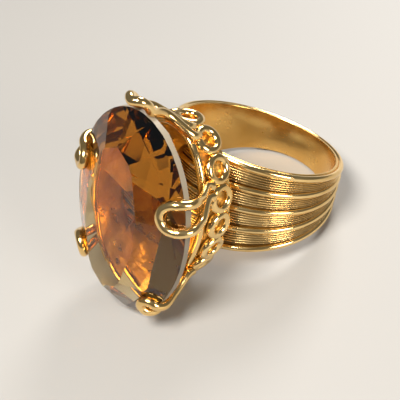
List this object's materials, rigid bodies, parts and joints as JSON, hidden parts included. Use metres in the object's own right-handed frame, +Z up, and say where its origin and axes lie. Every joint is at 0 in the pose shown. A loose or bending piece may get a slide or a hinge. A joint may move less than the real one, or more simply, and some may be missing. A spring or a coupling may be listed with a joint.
{
  "type": "cocktail ring",
  "caption": "Wide tapering gold ring with engraved strands and a raised oval smoky stone held by looped wire claws over a looped wire gallery.",
  "frame": {"origin": "bottom centre of the box round the ring as it lies on its side on a table", "axes": "+Z up from the table, +X from the head towards the back of the band, +Y completes a right-handed frame. The finger axis leans 20.6 degrees from +Z, in the plane of X and Z."},
  "size_m": [0.031, 0.019, 0.0238],
  "materials": {
    "sleeve": "polished",
    "engraved_band": "satin, finely lined",
    "ridges": "polished",
    "claws": "polished",
    "gallery": "polished",
    "collet": "grainy",
    "stone": "faceted, clear brown"
  },
  "bodies": {
    "root": {"band_sleeve": "sleeve", "band_strand_1": "engraved_band", "band_strand_2": "engraved_band", "band_strand_3": "engraved_band", "band_strand_4": "engraved_band", "claw_left": "claws", "claw_low_left": "claws", "claw_low_right": "claws", "claw_right": "claws", "claw_top": "claws", "collet": "collet", "gallery_loop_01": "gallery", "gallery_loop_02": "gallery", "gallery_loop_03": "gallery", "gallery_loop_04": "gallery", "gallery_loop_05": "gallery", "gallery_loop_06": "gallery", "gallery_loop_07": "gallery", "gallery_loop_08": "gallery", "gallery_loop_09": "gallery", "gallery_loop_10": "gallery", "gallery_loop_11": "gallery", "gallery_loop_12": "gallery", "gallery_loop_13": "gallery", "gallery_loop_14": "gallery", "gallery_loop_15": "gallery", "gallery_loop_16": "gallery", "gallery_rail": "gallery", "gemstone": "stone", "head_collar": "collet", "ridge_wire_1": "ridges", "ridge_wire_2": "ridges", "ridge_wire_3": "ridges", "ridge_wire_4": "ridges", "ridge_wire_5": "ridges"}
  },
  "joints": []
}
